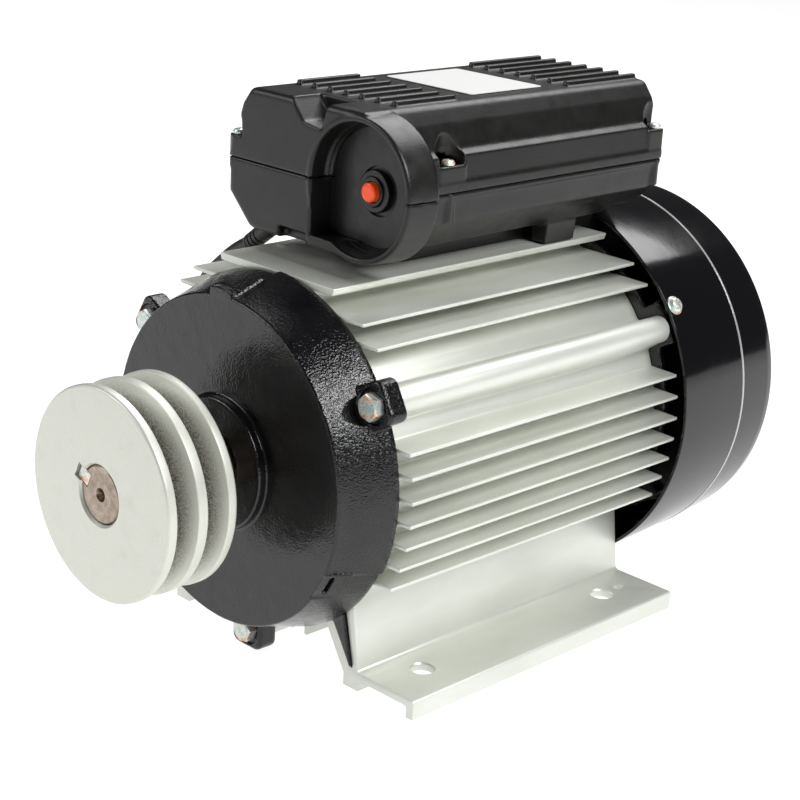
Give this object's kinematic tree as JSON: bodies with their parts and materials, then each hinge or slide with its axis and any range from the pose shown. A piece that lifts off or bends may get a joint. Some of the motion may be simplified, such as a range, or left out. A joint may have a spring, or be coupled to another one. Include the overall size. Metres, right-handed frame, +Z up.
{
  "type": "electric motor",
  "caption": "Foot-mounted single-phase electric motor with finned frame, fan cowl, capacitor box with reset button, grooved belt pulley and mains cord.",
  "frame": {"origin": "on the floor plane of the feet, under the middle of the motor's length and width, cord left out", "axes": "+Z up, shaft along Y with the pulley at -Y and the fan cowl at +Y, reset recess of the capacitor box towards +X"},
  "size_m": [0.2968, 0.333, 0.2382],
  "materials": {
    "frame_aluminium": "satin extruded aluminium with fine die lines",
    "pulley_aluminium": "turned cast aluminium, grainy in the grooves",
    "rotor_aluminium": "die-cast aluminium",
    "bell_black": "glossy black enamel over cast iron, orange peel",
    "cowl_black": "glossy black enamel over pressed steel",
    "shaft_steel": "ground steel, lightly browned",
    "bearing_steel": "polished bearing steel",
    "zinc_steel": "bright zinc plating",
    "laminations": "stacked electrical sheet",
    "copper_winding": "enamelled copper wire, varnished",
    "bearing_cage": "brass cage",
    "box_black": "fine-textured black moulded plastic",
    "fan_black": "black nylon",
    "inner_plastic": "cream moulded plastic",
    "cord_rubber": "matt black rubber sheath",
    "reset_red": "red-orange moulded button",
    "label_white": "white film label, unprinted"
  },
  "bodies": {
    "motor_body": {"motor_frame": "frame_aluminium", "front_end_bell": "bell_black", "rear_end_bell": "bell_black", "stator_core": "laminations", "front_winding_overhang": "copper_winding", "rear_winding_overhang": "copper_winding", "front_bearing_outer_ring": "bearing_steel", "rear_bearing_outer_ring": "bearing_steel", "front_shaft_seal": "cord_rubber", "rear_preload_washer": "bearing_steel", "starting_switch_plate": "inner_plastic", "fan_cowl": "cowl_black", "terminal_box_lid": "box_black", "terminal_box_base": "box_black", "reset_panel": "box_black", "thermal_protector": "inner_plastic", "start_capacitor": "fan_black", "run_capacitor": "inner_plastic", "terminal_block": "inner_plastic", "rating_label": "label_white", "cord_gland": "cord_rubber", "supply_cord": "cord_rubber", "supply_cord_coil": "cord_rubber", "supply_cord_tail": "cord_rubber", "mains_plug": "cord_rubber", "through_bolt_1": "zinc_steel", "bolt_nut_1": "zinc_steel", "cowl_screw_1": "zinc_steel", "through_bolt_2": "zinc_steel", "bolt_nut_2": "zinc_steel", "cowl_screw_2": "zinc_steel", "through_bolt_3": "zinc_steel", "bolt_nut_3": "zinc_steel", "cowl_screw_3": "zinc_steel", "lid_screw_1": "zinc_steel", "lid_screw_2": "zinc_steel", "lid_screw_3": "zinc_steel", "lid_screw_4": "zinc_steel"},
    "rotor": {"shaft": "shaft_steel", "shaft_key": "zinc_steel", "drive_pulley": "pulley_aluminium", "pulley_set_screw": "shaft_steel", "rotor_core": "laminations", "rotor_front_end_ring": "rotor_aluminium", "rotor_rear_end_ring": "rotor_aluminium", "front_bearing_inner_ring": "bearing_steel", "rear_bearing_inner_ring": "bearing_steel", "governor_weight_plate": "zinc_steel", "cooling_fan": "fan_black", "fan_retaining_ring": "bearing_steel"},
    "front_ball_cage": {"front_bearing_ball_cage": "bearing_cage"},
    "rear_ball_cage": {"rear_bearing_ball_cage": "bearing_cage"},
    "governor": {"governor_collar": "inner_plastic"},
    "reset": {"reset_button": "reset_red"}
  },
  "joints": [
    {"name": "rotor_spin", "type": "hinge", "parent": "motor_body", "child": "rotor", "pos_m": [0, 0, 0.09], "axis": [0, 1, 0], "continuous": true},
    {"name": "front_cage_spin", "type": "hinge", "parent": "motor_body", "child": "front_ball_cage", "pos_m": [0, -0.0972, 0.09], "axis": [0, 1, 0], "continuous": true},
    {"name": "rear_cage_spin", "type": "hinge", "parent": "motor_body", "child": "rear_ball_cage", "pos_m": [0, 0.1025, 0.09], "axis": [0, 1, 0], "continuous": true},
    {"name": "governor_slide", "type": "slide", "parent": "rotor", "child": "governor", "axis": [0, -1, 0], "range_m": [0, 0.0025], "stiffness_N_per_m": 400},
    {"name": "reset_press", "type": "slide", "parent": "motor_body", "child": "reset", "axis": [0, 1, 0], "range_m": [0, 0.0025], "stiffness_N_per_m": 500}
  ],
  "couplings": [
    {"joint": "front_cage_spin", "follows": "rotor_spin", "ratio": 0.398},
    {"joint": "rear_cage_spin", "follows": "rotor_spin", "ratio": 0.383}
  ]
}
